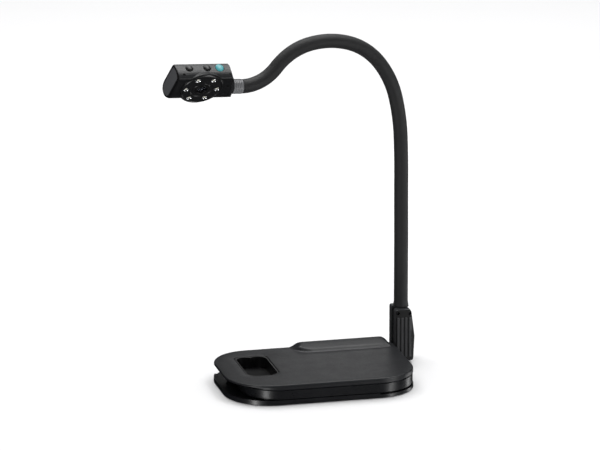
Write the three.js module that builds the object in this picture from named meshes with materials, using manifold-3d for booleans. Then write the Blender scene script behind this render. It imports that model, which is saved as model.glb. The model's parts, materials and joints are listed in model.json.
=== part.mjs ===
// A flexible-arm document camera: a flat base with a nest for the head, a short ribbed mast,
// a gooseneck made as ten sections, and a camera head with lens, six lights and three buttons.
// Millimetres, +Z up, X to the right, Y to the back.
import * as THREE from 'three';
import Module from 'manifold-3d';
import { mergeVertices } from 'three/addons/utils/BufferGeometryUtils.js';

// Base
const baseLength = 204;
const baseDepth = 133;
const baseHeight = 22.3;
const cornerRadii = { frontLeft: 50, frontRight: 44, backLeft: 42, backRight: 18 };
const footHeight = 0.7;
const steelPlate = { bottom: 0.8, top: 2.0, inset: 2.4 };
const tray = { bottom: 0.9, floorTop: 3.7, lipTop: 5.8, lipEnd: 0.772, proud: 0.3 };
const housingWall = { bottom: 6.3, top: 15.9, inset: 0.5, thickness: 2.4 };
const coverRim = { bottom: 16.3, plateBottom: 20.0, bevel: 1.2, wall: 2.4 };
const channel = { leftDepth: 16, backDepth: 18.5 };
const nest = { left: 24, right: 60, front: 38, back: baseDepth - 23, floor: 8.3, wall: 1.6 };
const hump = { left: baseLength * 0.446, right: baseLength - 5, front: baseDepth - 25, rise: 6.4 };

// Mast, standing at the right rear corner of the base
const mast = {
  left: baseLength + 1.5,
  right: baseLength + 22.7,
  topRight: baseLength + 19.4,
  front: baseDepth - 17,
  back: baseDepth + 12,
  bottom: 2.4,
  top: 60,
};
const mastSeams = [10, 10.4, 18.6, 19].map((depth) => mast.front + depth);
const mastRib = { width: 2.9, proud: 1.0, low: 7, high: 51.5 };

// Neck
const neckAxis = { x: mast.left + 9.2, y: mast.front + 14.5 };
const neckRadius = 7.6;
const neckPlaneTurn = 11;
const neckStub = 8.2;
const sectionLength = 45.06;
const sectionBends = [0, 0.5, -0.5, 2.4, 11.3, 25, 33.9, 27.2, 38.6, -53.2];
const sectionGap = 3.4;
const neckSides = 24;

// Head, in its own frame: u along it, v across the bezel, n the way the lens looks
const headLength = 72.3;
const headThick = 21.2;
const headTilt = 48;
const collarLength = 11;
const neckEntry = { u: headLength + 0.3, v: -27, n: -8.5 };
const lensCentre = { u: headLength * 0.447, v: -17.7 };
const ringRadius = 23.5;
const lightCircle = 17.5;
const buttonList = [
  { name: 'button_zoom_out', u: 15.2, radius: 4.0, color: 0x1c1d20 },
  { name: 'button_zoom_in', u: 35.4, radius: 4.0, color: 0x1c1d20 },
  { name: 'button_focus', u: 49.6, radius: 4.6, color: 0x46a0a5 },
];
const buttonHeight = -12.4;
const frontScrewHeight = -4.3;
const frontScrews = [7.3, headLength - 11.1];
const bezelScrewSpots = [[11.4, -23], [headLength - 9, -14]];

const gap = 0.3;
const wasm = await Module();
wasm.setup();

const plasticDark = { color: 0x3a3c40, roughness: 0.55, metalness: 0.0 };
const plasticGrey = { color: 0x4b4d52, roughness: 0.5, metalness: 0.0 };
const plasticBlack = { color: 0x17181a, roughness: 0.5, metalness: 0.0 };
const rubberBlack = { color: 0x1b1b1c, roughness: 0.9, metalness: 0.0 };
const neckFinish = { color: 0x2c2d30, roughness: 0.75, metalness: 0.0 };
const steelFinish = { color: 0x9a9da1, roughness: 0.35, metalness: 1.0 };
const screwFinish = { color: 0x2a2b2d, roughness: 0.4, metalness: 0.9 };
const boardGreen = { color: 0x1e5a36, roughness: 0.6, metalness: 0.0 };
const glassFinish = { color: 0x20242c, roughness: 0.05, metalness: 0.0 };
const lightFinish = { color: 0xf4f5ee, roughness: 0.15, metalness: 0.0 };

// Solid helpers
function toSolid(geometry) {
  const plain = geometry.clone();
  plain.deleteAttribute('normal');
  plain.deleteAttribute('uv');
  const welded = mergeVertices(plain, 1e-4);
  const corners = [];
  for (let i = 0; i < welded.index.count; i += 3) {
    const [a, b, c] = [0, 1, 2].map((k) => welded.index.getX(i + k));
    if (a !== b && b !== c && c !== a) corners.push(a, b, c);
  }
  return new wasm.Manifold(new wasm.Mesh({
    numProp: 3,
    vertProperties: new Float32Array(welded.attributes.position.array),
    triVerts: new Uint32Array(corners),
  }));
}

function toGeometry(solid) {
  const mesh = solid.getMesh();
  const geometry = new THREE.BufferGeometry();
  geometry.setAttribute('position', new THREE.BufferAttribute(new Float32Array(mesh.vertProperties), 3));
  geometry.setIndex(new THREE.BufferAttribute(new Uint32Array(mesh.triVerts), 1));
  const flat = geometry.toNonIndexed();
  flat.computeVertexNormals();
  return flat;
}

function join(...pieces) {
  return pieces.reduce((whole, piece) => whole.add(piece));
}

function cut(solid, ...tools) {
  return tools.reduce((rest, tool) => rest.subtract(tool), solid);
}

function block(low, high) {
  const size = high.map((value, axis) => value - low[axis]);
  const box = new THREE.BoxGeometry(size[0], size[1], size[2]);
  box.translate(...high.map((value, axis) => (value + low[axis]) / 2));
  return toSolid(box);
}

// A round bar standing on a point, along 'x', 'y' or 'z'
function bar(axis, start, length, radius, sides = 32) {
  const geometry = new THREE.CylinderGeometry(radius, radius, length, sides);
  geometry.translate(0, length / 2, 0);
  if (axis === 'z') geometry.rotateX(Math.PI / 2);
  if (axis === 'x') geometry.rotateZ(-Math.PI / 2);
  geometry.translate(...start);
  return toSolid(geometry);
}

// A turned piece about the upright axis at a point, from radius and height pairs
function turned(profile, sides = 32) {
  const points = profile.map(([radius, height]) => new THREE.Vector2(radius, height));
  const geometry = new THREE.LatheGeometry(points, sides);
  geometry.rotateX(Math.PI / 2);
  return toSolid(geometry);
}

function raised(shape, low, high, curveSegments = 7) {
  const depth = high - low;
  const geometry = new THREE.ExtrudeGeometry(shape, { depth, bevelEnabled: false, curveSegments });
  geometry.translate(0, 0, low);
  return toSolid(geometry);
}

// The same, with its upper edge rounded over
function raisedRounded(shape, low, high, radius, curveSegments = 10) {
  const geometry = new THREE.ExtrudeGeometry(shape, {
    depth: high - low,
    bevelThickness: radius,
    bevelSize: radius,
    bevelOffset: -radius,
    bevelSegments: 2,
    curveSegments,
  });
  geometry.translate(0, 0, low - radius);
  const wide = 1000;
  return toSolid(geometry).intersect(block([-wide, -wide, low], [wide, wide, high + radius]));
}

function roundedShape(low, high, radii) {
  const shape = new THREE.Shape();
  const quarter = Math.PI / 2;
  const { frontLeft, frontRight, backLeft, backRight } = radii;
  shape.moveTo(low[0] + frontLeft, low[1]);
  shape.lineTo(high[0] - frontRight, low[1]);
  shape.absarc(high[0] - frontRight, low[1] + frontRight, frontRight, -quarter, 0, false);
  shape.lineTo(high[0], high[1] - backRight);
  shape.absarc(high[0] - backRight, high[1] - backRight, backRight, 0, quarter, false);
  shape.lineTo(low[0] + backLeft, high[1]);
  shape.absarc(low[0] + backLeft, high[1] - backLeft, backLeft, quarter, 2 * quarter, false);
  shape.lineTo(low[0], low[1] + frontLeft);
  shape.absarc(low[0] + frontLeft, low[1] + frontLeft, frontLeft, 2 * quarter, 3 * quarter, false);
  return shape;
}

function shapeFrom(points) {
  return new THREE.Shape(points.map(([x, y]) => new THREE.Vector2(x, y)));
}

function evenRadii(radius) {
  return { frontLeft: radius, frontRight: radius, backLeft: radius, backRight: radius };
}

// Base outlines
function baseOutline(inset) {
  const radii = {};
  Object.keys(cornerRadii).forEach((corner) => {
    radii[corner] = Math.max(cornerRadii[corner] - inset, 1);
  });
  return roundedShape([inset, inset], [baseLength - inset, baseDepth - inset], radii);
}

// The closed box of the base: short of the left end and of the back left, where the neck is stored
function coreOutline(inset) {
  const radii = {
    frontLeft: cornerRadii.frontLeft - 10 - inset,
    frontRight: cornerRadii.frontRight - inset,
    backLeft: Math.max(12 - inset, 1),
    backRight: Math.max(6 - inset, 1),
  };
  const low = [channel.leftDepth + inset, inset];
  const high = [baseLength - inset, baseDepth - channel.backDepth - inset];
  return roundedShape(low, high, radii);
}

function rearBoxOutline(inset) {
  const low = [hump.left + 2 + inset, baseDepth - 50 + inset];
  const high = [baseLength - inset, baseDepth - inset];
  const back = Math.max(cornerRadii.backRight - inset, 1);
  return roundedShape(low, high, { frontLeft: 1, frontRight: 1, backLeft: 4, backRight: back });
}

function coreSlab(inset, low, high) {
  return join(raised(coreOutline(inset), low, high), raised(rearBoxOutline(inset), low, high));
}

// Base pieces
const screwSpots = [
  [42, 24], [baseLength - 26, 26], [62, baseDepth - 29], [baseLength - 20, baseDepth - 29],
];
const footSpots = [
  [30, 50], [baseLength - 32, 22], [60, baseDepth - 15], [mast.left + 6.5, mast.back - 14],
];

const portMiddle = baseLength - 49.5;
const lockMiddle = baseLength - 21.7;

function makeSteelPlate() {
  const heelLeft = baseLength - 26;
  const heel = roundedShape([heelLeft, mast.front + 2], [mast.right - 2.5, mast.back - 1], evenRadii(4));
  const plate = raised(baseOutline(steelPlate.inset), steelPlate.bottom, steelPlate.top);
  const holes = screwSpots.map(([x, y]) => bar('z', [x, y, 0], 4, 3.4));
  return cut(plate.add(raised(heel, steelPlate.bottom, steelPlate.top)), ...holes);
}

function makeTray() {
  const outer = raised(baseOutline(-tray.proud), tray.bottom, tray.lipTop);
  const underside = raised(baseOutline(steelPlate.inset - gap), 0, steelPlate.top + gap / 2);
  const inside = raised(baseOutline(2.6), tray.floorTop, tray.lipTop + 1);
  const lipEnd = baseLength * tray.lipEnd;
  const lowFront = block([lipEnd, -5, tray.lipTop - 1.5], [baseLength + 5, baseDepth + 5, tray.lipTop + 1]);
  const backOpen = block([-5, baseDepth - 24, tray.floorTop], [hump.left, baseDepth + 5, tray.lipTop + 1]);
  const heelTop = steelPlate.top + gap / 2;
  const heelWay = block([baseLength - 27, mast.front + 1, 0], [baseLength + 5, mast.back, heelTop]);
  const holes = screwSpots.map(([x, y]) => bar('z', [x, y, 0], 6, 1.7));
  return cut(outer, underside, inside, lowFront, backOpen, heelWay, ...holes);
}

function makeHousing() {
  const { bottom, top, inset, thickness } = housingWall;
  const plinth = coreSlab(4.2, tray.floorTop + 0.2, bottom + 0.1);
  const wall = coreSlab(inset, bottom, top);
  const lowHollow = coreSlab(6.6, 0, bottom + 1.7);
  const highHollow = coreSlab(inset + thickness, bottom + 1.6, top + 5);
  const port = block([portMiddle - 6, baseDepth - 5, 8.2], [portMiddle + 6, baseDepth + 1, 14.2]);
  const lockWay = block([lockMiddle - 4.3, baseDepth - 5, 8.4], [lockMiddle + 4.3, baseDepth + 1, 12.4]);
  return cut(join(plinth, wall), lowHollow, highHollow, port, lockWay);
}

function humpSolid(low) {
  const top = baseHeight + hump.rise;
  const { left, right, front } = hump;
  const back = baseDepth;
  const side = shapeFrom([
    [front - 0.6, low], [front, baseHeight], [front + 1.4, baseHeight + 1.7],
    [front + 3.4, baseHeight + 2.6], [front + 9.5, top - 2.3], [front + 16, top - 0.5],
    [front + 19, top], [back - 3.4, top - 0.1], [back - 1.2, top - 1.2], [back, top - 3.4], [back, low],
  ]);
  const sideGeometry = new THREE.ExtrudeGeometry(side, { depth: right - left + 10, bevelEnabled: false });
  sideGeometry.applyMatrix4(new THREE.Matrix4().makeBasis(
    new THREE.Vector3(0, 1, 0), new THREE.Vector3(0, 0, 1), new THREE.Vector3(1, 0, 0)));
  sideGeometry.translate(left - 5, 0, 0);
  const long = shapeFrom([
    [left, low], [left, baseHeight], [left + 2.5, baseHeight + 1.2], [left + 6, top - 2.6],
    [left + 9.5, top - 0.9], [left + 13.5, top], [right - 14, top], [right - 8, top - 0.8],
    [right - 3.5, top - 2.4], [right - 0.8, top - 4.6], [right, baseHeight], [right, low],
  ]);
  const longGeometry = new THREE.ExtrudeGeometry(long, { depth: 60, bevelEnabled: false });
  longGeometry.rotateX(Math.PI / 2);
  longGeometry.translate(0, back + 10, 0);
  const plan = roundedShape([left, front - 1], [right, back], {
    frontLeft: 15, frontRight: 3, backLeft: 9, backRight: cornerRadii.backRight - 5,
  });
  return toSolid(sideGeometry).intersect(toSolid(longGeometry)).intersect(raised(plan, low, top + 2));
}

// The same form drawn in on every side, to leave an even wall
function humpHollow(wall) {
  const middle = [(hump.left + hump.right) / 2, (hump.front + baseDepth) / 2];
  const scale = [1 - 2 * wall / (hump.right - hump.left), 1 - 2 * wall / (baseDepth - hump.front)];
  const whole = humpSolid(coverRim.plateBottom - 1);
  const centred = whole.translate([-middle[0], -middle[1], -wall]);
  return centred.scale([scale[0], scale[1], 1]).translate([middle[0], middle[1], 0]);
}

function makeCover() {
  const plate = raisedRounded(baseOutline(0), coverRim.plateBottom, baseHeight, coverRim.bevel, 9);
  const skirt = cut(coreSlab(0, coverRim.bottom, coverRim.plateBottom + 0.5),
    coreSlab(coverRim.wall, 0, coverRim.plateBottom));
  const hole = roundedShape([nest.left, nest.front], [nest.right, nest.back],
    { frontLeft: 13, frontRight: 13, backLeft: 7, backRight: 7 });
  const bosses = screwSpots.map(([x, y]) => bar('z', [x, y, 4.4], coverRim.plateBottom - 4, 3.6, 20));
  const bores = screwSpots.map(([x, y]) => bar('z', [x, y, 4], 9, 1.5, 12));
  const body = cut(join(plate, skirt, humpSolid(coverRim.plateBottom + 0.2)), humpHollow(2.3));
  return cut(join(body, ...bosses), raised(hole, 0, 40), ...bores);
}

// The nest's far wall is scooped into two round lobes
function makeNest() {
  const rim = roundedShape([nest.left + gap, nest.front + gap], [nest.right - gap, nest.back - gap],
    { frontLeft: 12.7, frontRight: 12.7, backLeft: 6.7, backRight: 6.7 });
  const inner = nest.wall + gap;
  const width = nest.right - nest.left - 2 * inner;
  const lobe = width / 4 + 1.2;
  const lobeY = nest.back - inner - lobe;
  const well = roundedShape([nest.left + inner, nest.front + inner], [nest.right - inner, lobeY],
    { frontLeft: 11, frontRight: 11, backLeft: 0.8, backRight: 0.8 });
  const lobes = [nest.left + inner + lobe, nest.right - inner - lobe];
  const scoops = lobes.map((x) => bar('z', [x, lobeY, nest.floor + nest.wall], 30, lobe, 28));
  const outer = raised(rim, nest.floor, baseHeight - 0.5);
  return cut(outer, raised(well, nest.floor + nest.wall, 40), ...scoops);
}

function makeBallast() {
  const low = [baseLength * 0.353, 18];
  const high = [baseLength * 0.578, baseDepth - 41];
  return raised(roundedShape(low, high, evenRadii(4)), tray.floorTop + 0.3, 14);
}

function makeBoard() {
  const left = baseLength * 0.608;
  const back = baseDepth - 7.2;
  const sheet = block([left, 40, 6.4], [baseLength - 28, back, 8.0]);
  const chips = [
    block([left + 10, 60, 7.9], [left + 24, 74, 9.6]),
    block([left + 32, back - 41.8, 7.9], [left + 42, back - 31.8, 9.4]),
    block([left + 8, back - 29.8, 7.9], [left + 15, back - 9.8, 11.5]),
  ];
  return join(sheet, ...chips);
}

function makePort() {
  const x = portMiddle;
  const shell = block([x - 5.3, baseDepth - 13.5, 8.8], [x + 5.3, baseDepth - 1, 13.6]);
  const mouth = block([x - 4.4, baseDepth - 9, 9.7], [x + 4.4, baseDepth + 1, 12.7]);
  const tongue = block([x - 3.1, baseDepth - 9.5, 10.8], [x + 3.1, baseDepth - 2.2, 11.6]);
  return join(cut(shell, mouth), tongue);
}

function makeLockSlot() {
  const x = lockMiddle;
  const plate = block([x - 3.9, baseDepth - 4.2, 8.8], [x + 3.9, baseDepth - 1, 12.0]);
  return cut(plate, block([x - 2.8, baseDepth - 4, 9.5], [x + 2.8, baseDepth + 1, 11.3]));
}

function makeFoot([x, y]) {
  const foot = turned([[0, 0], [6.2, 0], [6.8, 0.25], [6.8, footHeight], [0, footHeight]], 28);
  return foot.translate([x, y, 0]);
}

function makeCaseScrew([x, y]) {
  const profile = [[0, 0.9], [2.9, 0.9], [3.0, 1.1], [3.0, 2.0], [1.3, 2.0], [1.3, 11.5], [0, 12]];
  const screw = turned(profile, 14);
  const slots = [block([-2, -0.35, 0], [2, 0.35, 1.5]), block([-0.35, -2, 0], [0.35, 2, 1.5])];
  return cut(screw, ...slots).translate([x, y, 0]);
}

// Mast
function mastOutline(inset) {
  const { left, right, topRight, bottom, top } = mast;
  const l = left + inset;
  const r = right - inset;
  const shape = new THREE.Shape();
  shape.moveTo(l, bottom + 3);
  shape.quadraticCurveTo(l, bottom + inset, l + 3, bottom + inset);
  shape.lineTo(r - 3.6, bottom + inset);
  shape.quadraticCurveTo(r - 1.2, bottom + inset, r - 1.1, bottom + 4);
  shape.lineTo(r, top * 0.5);
  shape.lineTo(topRight - inset, top - 5);
  shape.quadraticCurveTo(topRight - inset - 0.3, top - inset, topRight - inset - 3.6, top - inset);
  shape.lineTo(l + 2.6, top - inset);
  shape.quadraticCurveTo(l, top - inset, l, top - 2.6);
  return shape;
}

// Extrudes an X-Z outline from one depth to another, rounding over one or both ends
function mastSlab(outline, front, back, bevel) {
  const geometry = new THREE.ExtrudeGeometry(outline, {
    depth: back - front - 2 * bevel,
    bevelEnabled: bevel > 0,
    bevelThickness: bevel,
    bevelSize: bevel,
    bevelOffset: -bevel,
    bevelSegments: 2,
    curveSegments: 4,
  });
  geometry.translate(0, 0, bevel);
  geometry.rotateX(Math.PI / 2);
  geometry.translate(0, back, 0);
  return toSolid(geometry);
}

function postSpace(clearance, low = 0) {
  const { x, y } = neckAxis;
  return block([x - 5.2 - clearance, y - 3.9 - clearance, low],
    [x + 6.3 + clearance, y + 3.9 + clearance, 38 + clearance]);
}

function spigotSpace(radius) {
  return bar('z', [neckAxis.x, neckAxis.y, 42], 30, radius);
}

const mastScrewSpots = [[mast.left + 2.8, 56.0], [mast.right - 5.5, 55.4]];

function makeMastFront() {
  const shell = mastSlab(mastOutline(0), mast.front, mastSeams[0] + 3, 1.1);
  const reach = block([mast.left - 5, mast.front - 5, 0], [mast.right + 5, mastSeams[0], mast.top + 10]);
  const trimmed = shell.intersect(reach);
  const starts = [1.3, 5.6, 9.9, 14.2].map((distance) => mast.left + distance);
  const ribs = starts.map((x) => {
    const rib = roundedShape([x, mastRib.low], [x + mastRib.width, mastRib.high], evenRadii(1));
    const geometry = new THREE.ExtrudeGeometry(rib, {
      depth: 1.2,
      bevelThickness: 0.5,
      bevelSize: 0.5,
      bevelOffset: -0.5,
      bevelSegments: 1,
      curveSegments: 2,
    });
    geometry.rotateX(Math.PI / 2);
    geometry.translate(0, mast.front - mastRib.proud + 1.7, 0);
    return toSolid(geometry);
  });
  const wells = mastScrewSpots.map(([x, z]) => bar('y', [x, mast.front - 2, z], 4.8, 1.9, 20));
  const bores = mastScrewSpots.map(([x, z]) => bar('y', [x, mast.front - 2, z], 30, 1.2, 16));
  return cut(join(trimmed, ...ribs), postSpace(gap), spigotSpace(4.8), ...wells, ...bores);
}

function makeMastCore() {
  const slab = mastSlab(mastOutline(1.1), mastSeams[1], mastSeams[2], 0);
  const bores = mastScrewSpots.map(([x, z]) => bar('y', [x, mast.front, z], 30, 1.2, 16));
  return cut(slab, postSpace(gap), spigotSpace(4.8), ...bores);
}

function makeMastRear() {
  const shell = mastSlab(mastOutline(0), mastSeams[3] - 3, mast.back, 1.1);
  const reach = block([mast.left - 5, mastSeams[3], 0], [mast.right + 5, mast.back + 5, mast.top + 10]);
  const trimmed = shell.intersect(reach);
  const bores = mastScrewSpots.map(([x, z]) => bar('y', [x, mast.front, z], 24, 1.2, 16));
  return cut(trimmed, spigotSpace(4.8), ...bores);
}

function makeMastPost() {
  return postSpace(0, steelPlate.top + 0.1);
}

function makeMastScrew([x, z]) {
  const profile = [[0, 0], [1.6, 0], [1.7, 0.2], [1.7, 1.5], [1.0, 1.5], [1.0, 18], [0, 18.4]];
  const screw = turned(profile, 14);
  const slots = [block([-1.1, -0.25, -1], [1.1, 0.25, 0.6]), block([-0.25, -1.1, -1], [0.25, 1.1, 0.6])];
  return cut(screw, ...slots).rotate([-90, 0, 0]).translate([x, mast.front + 1.3, z]);
}

function makeBoot() {
  const boot = turned([
    [0, 42.5], [4.5, 42.5], [4.5, mast.top + 0.2], [8.5, mast.top + 0.2], [8.5, mast.top + 0.8],
    [7.9, mast.top + 3], [neckRadius, mast.top + neckStub - sectionGap / 2],
    [0, mast.top + neckStub - sectionGap / 2],
  ], 28);
  return boot.translate([neckAxis.x, neckAxis.y, 0]);
}

// Neck: a plane curve that leaves the mast straight up and then arches over
const degree = Math.PI / 180;
const planeTurn = neckPlaneTurn * degree;
const planeDirection = new THREE.Vector3(-Math.cos(planeTurn), -Math.sin(planeTurn), 0);

function spacePoint([reach, height]) {
  return new THREE.Vector3(neckAxis.x, neckAxis.y, height).addScaledVector(planeDirection, reach);
}

// Each section starts at a point and a lean from the upright, and bends evenly along its length
function neckSections() {
  let point = [0, mast.top + neckStub];
  let lean = 0;
  return sectionBends.map((bend) => {
    const turn = bend * degree;
    const section = { start: point, lean, turn };
    point = pointAlong(section, sectionLength);
    lean += turn;
    return section;
  });
}

function pointAlong({ start, lean, turn }, distance) {
  const bent = turn * distance / sectionLength;
  const half = bent / 2;
  const chord = Math.abs(half) < 1e-6 ? distance : distance * Math.sin(half) / half;
  return [start[0] + chord * Math.sin(lean + half), start[1] + chord * Math.cos(lean + half)];
}

class SectionCurve extends THREE.Curve {
  constructor(section, from, to) {
    super();
    this.section = section;
    this.from = from;
    this.to = to;
  }

  getPoint(t) {
    return spacePoint(pointAlong(this.section, this.from + (this.to - this.from) * t));
  }
}

function makeSection(section, isLast) {
  const circle = new THREE.Shape();
  circle.absarc(0, 0, neckRadius, 0, 2 * Math.PI, false);
  const end = sectionLength - (isLast ? 0.2 : sectionGap / 2);
  const curve = new SectionCurve(section, sectionGap / 2, end);
  const steps = Math.max(2, Math.ceil(Math.abs(section.turn) / (6 * degree)));
  return toSolid(new THREE.ExtrudeGeometry(circle, {
    steps, extrudePath: curve, curveSegments: neckSides / 2,
  }));
}

// Head frame: u points back along the neck's end, n is the lens direction
function headFrame() {
  const sections = neckSections();
  const last = sections[sections.length - 1];
  const end = spacePoint(pointAlong(last, sectionLength));
  const lean = last.lean + last.turn;
  const forward = planeDirection.clone().multiplyScalar(Math.sin(lean));
  forward.z = Math.cos(lean);
  const u = forward.clone().negate();
  const side = new THREE.Vector3(planeDirection.y, -planeDirection.x, 0).negate();
  const down = new THREE.Vector3().crossVectors(u, side).normalize();
  if (down.z > 0) down.negate();
  const front = side.y < 0 ? side : side.negate();
  const n = down.clone().multiplyScalar(Math.cos(headTilt * degree));
  n.addScaledVector(front, Math.sin(headTilt * degree));
  const v = new THREE.Vector3().crossVectors(n, u);
  const matrix = new THREE.Matrix4().makeBasis(u, v, n);
  const origin = end.clone();
  origin.addScaledVector(u, -(neckEntry.u + collarLength));
  origin.addScaledVector(v, -neckEntry.v);
  origin.addScaledVector(n, -neckEntry.n);
  return matrix.setPosition(origin);
}

const headMatrix = headFrame();

function placeHead(solid) {
  return solid.transform(headMatrix.elements);
}

// The head's side profile in v and n, drawn in by an inset
function headProfile(inset) {
  const k = inset;
  const back = -headThick;
  const shape = new THREE.Shape();
  shape.moveTo(-34 + k * 0.6, -k);
  shape.lineTo(-1.4 - k, -k);
  shape.quadraticCurveTo(0.4 - k, -k, 0.9 - k, -1.8 - k * 0.5);
  shape.bezierCurveTo(2.6 - k, -6.5, 2.8 - k, -12.5, 0.2 - k, back + 3.1 + k * 0.5);
  shape.quadraticCurveTo(-1.0 - k, back + 0.5 + k, -5.5 - k * 0.6, back + 0.2 + k);
  shape.lineTo(-30 + k * 0.6, back + k);
  shape.bezierCurveTo(-37 + k * 0.8, back + 0.1 + k, -41.6 + k, back + 2.3 + k * 0.6, -41.8 + k, -13);
  shape.bezierCurveTo(-41.8 + k, -7.5, -38.6 + k, -3.4 - k * 0.4, -34 + k * 0.6, -k);
  return shape;
}

function headPrism(inset, start, end, bevel = 0) {
  const geometry = new THREE.ExtrudeGeometry(headProfile(inset), {
    depth: end - start - 2 * bevel,
    bevelEnabled: bevel > 0,
    bevelThickness: bevel,
    bevelSize: bevel,
    bevelOffset: -bevel,
    bevelSegments: 2,
    curveSegments: 6,
  });
  geometry.applyMatrix4(new THREE.Matrix4().makeBasis(
    new THREE.Vector3(0, 1, 0), new THREE.Vector3(0, 0, 1), new THREE.Vector3(1, 0, 0)));
  geometry.translate(start + bevel, 0, 0);
  return toSolid(geometry);
}

// The head's outline from below: square at the free end, rounded off at the neck end
function headPlan(inset) {
  const shape = new THREE.Shape();
  shape.moveTo(inset, -46);
  shape.lineTo(headLength - inset, -46);
  shape.lineTo(headLength - inset, -22);
  shape.bezierCurveTo(headLength - inset, -8, headLength - 2 - inset, 3 - inset, headLength - 11, 8);
  shape.lineTo(inset, 8);
  return shape;
}

function makeHeadHousing() {
  const outer = headPrism(0, 0, headLength, 1.4).intersect(raised(headPlan(0), -30, 10));
  const hollow = headPrism(2.1, 2.6, headLength - 3.2).intersect(raised(headPlan(2.6), -30, 10));
  const mouth = raised(roundedShape([2.2, -33.2], [headLength - 4.2, -2.0], evenRadii(2)), -6, 2);
  const step = raised(roundedShape([1.4, -34.4], [headLength - 3.0, -0.9], evenRadii(2)), -1.9, 2);
  const ringWay = bar('z', [lensCentre.u, lensCentre.v, -0.5], 6, ringRadius + gap, 44);
  const swell = cut(ringSwell(), block([-50, -60, -20], [120, -4, 5]));
  const wells = buttonList.map(({ u, radius }) => bar('y', [u, -8, buttonHeight], 14, radius + 0.25, 24));
  const dishes = buttonList.map(({ u, radius }) => bar('y', [u, 1.6, buttonHeight], 4, radius + 0.9, 24));
  const screwWells = frontScrews.map((u) => bar('y', [u, -0.35, frontScrewHeight], 4, 1.5, 20));
  const bore = bar('x', [headLength - 8, neckEntry.v, neckEntry.n], 12, 5.4, 32);
  const capRecess = headPrism(2.2, -1, 1.0);
  const openings = [mouth, step, ringWay, ...wells, ...dishes, ...screwWells, bore, capRecess];
  return cut(join(outer, swell), hollow, ...openings);
}

// The housing swells out under the lens ring, where the ring overhangs the buttons' side
function ringSwell() {
  const rim = ringRadius + 0.7;
  return turned([
    [0, -9.5], [18.4, -9.5], [rim - 3.4, -6.4], [rim - 1.6, -3.8], [rim - 0.5, -2.2], [rim, -1.2],
    [rim - 0.2, -0.6], [0, -0.6],
  ], 48).translate([lensCentre.u, lensCentre.v, 0]);
}

function makeEndCap() {
  return headPrism(2.5, 0.2, 0.9, 0.2);
}

const lightSpots = [0, 1, 2, 3, 4, 5].map((index) => {
  const angle = index * Math.PI / 3;
  return [lensCentre.u + lightCircle * Math.cos(angle), lensCentre.v + lightCircle * Math.sin(angle)];
});

function makeBezel() {
  const plate = raised(roundedShape([1.7, -34.1], [headLength - 3.3, -1.2], evenRadii(1.7)), -1.7, 0);
  const ring = turned([
    [0, -0.2], [ringRadius, -0.2], [ringRadius, 1.0], [ringRadius - 0.6, 1.6], [21.8, 1.7], [21.2, 1.2],
    [12.4, 1.2], [11.8, 0.7], [9.8, 0.7], [9.2, 1.5], [0, 1.5],
  ], 44).translate([lensCentre.u, lensCentre.v, 0]);
  const lightWays = lightSpots.map(([u, v]) => bar('z', [u, v, -0.45], 6, 3.3, 18));
  const lensWay = bar('z', [lensCentre.u, lensCentre.v, -4], 10, 7.5, 28);
  const screwWells = bezelScrewSpots.map(([u, v]) => bar('z', [u, v, -1.2], 5, 1.7, 20));
  const screwBores = bezelScrewSpots.map(([u, v]) => bar('z', [u, v, -4], 5, 1.0, 16));
  return cut(join(plate, ring), lensWay, ...lightWays, ...screwWells, ...screwBores);
}

function makeLight([u, v]) {
  const profile = [
    [0, -0.35], [2.8, -0.35], [2.8, 0.3], [2.1, 0.4], [2.0, 1.0], [1.5, 1.7], [0.8, 2.1], [0, 2.2],
  ];
  return turned(profile, 14).translate([u, v, 0]);
}

function makeLightBoard() {
  const disc = bar('z', [lensCentre.u, lensCentre.v, -3.4], 1.1, 20.3, 48);
  const trimmed = disc.intersect(block([0, -32.6, -5], [headLength, -2.6, 0]));
  return cut(trimmed, bar('z', [lensCentre.u, lensCentre.v, -5], 5, 7.6, 40));
}

function makeLensBarrel() {
  return turned([
    [5.2, -9], [7.1, -9], [7.1, 1.9], [6.7, 2.2], [5.9, 2.2], [5.5, 1.6], [5.2, 1.0], [5.2, -9],
  ], 28).translate([lensCentre.u, lensCentre.v, 0]);
}

function makeLensGlass() {
  return turned([[0, -2.4], [4.9, -2.4], [4.9, -0.6], [4.3, 0.0], [3.2, 0.6], [1.7, 1.0], [0, 1.15]], 24)
    .translate([lensCentre.u, lensCentre.v, 0]);
}

function makeSensorBoard() {
  const { u, v } = lensCentre;
  const sheet = block([u - 10, v - 10, -11.2], [u + 10, v + 10, -9.8]);
  const chip = block([u - 4, v - 4, -9.9], [u + 4, v + 4, -9.3]);
  return join(sheet, chip);
}

function makeButtonBoard() {
  const sheet = block([9, -7.0, buttonHeight - 3], [56, -5.8, buttonHeight + 3]);
  const n = buttonHeight;
  const switches = buttonList.map(({ u }) => block([u - 2, -5.9, n - 2], [u + 2, -4.2, n + 2]));
  return join(sheet, ...switches);
}

function makeButton({ u, radius }) {
  const cap = turned([
    [0, -2.9], [radius, -2.9], [radius, 1.7], [radius - 0.35, 2.3], [radius * 0.7, 2.65],
    [radius * 0.35, 2.85], [0, 2.9],
  ], 24);
  return cap.rotate([-90, 0, 0]).translate([u, 0, buttonHeight]);
}

function makeBezelScrew([u, v]) {
  const screw = turned([[0, -5.2], [0.8, -5], [0.8, -1.1], [1.45, -1.1], [1.5, -0.4], [0, -0.3]], 14);
  const slots = [block([-1, -0.25, -0.8], [1, 0.25, 0]), block([-0.25, -1, -0.8], [0.25, 1, 0])];
  return cut(screw, ...slots).translate([u, v, 0]);
}

function makeFrontScrew(u) {
  const screw = turned([[0, -0.2], [1.2, -0.2], [1.3, 0], [1.3, 0.9], [0, 1.0]], 14);
  const slotted = cut(screw, block([-1, -0.25, 0.5], [1, 0.25, 2]));
  return slotted.rotate([-90, 0, 0]).translate([u, 0, frontScrewHeight]);
}

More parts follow.
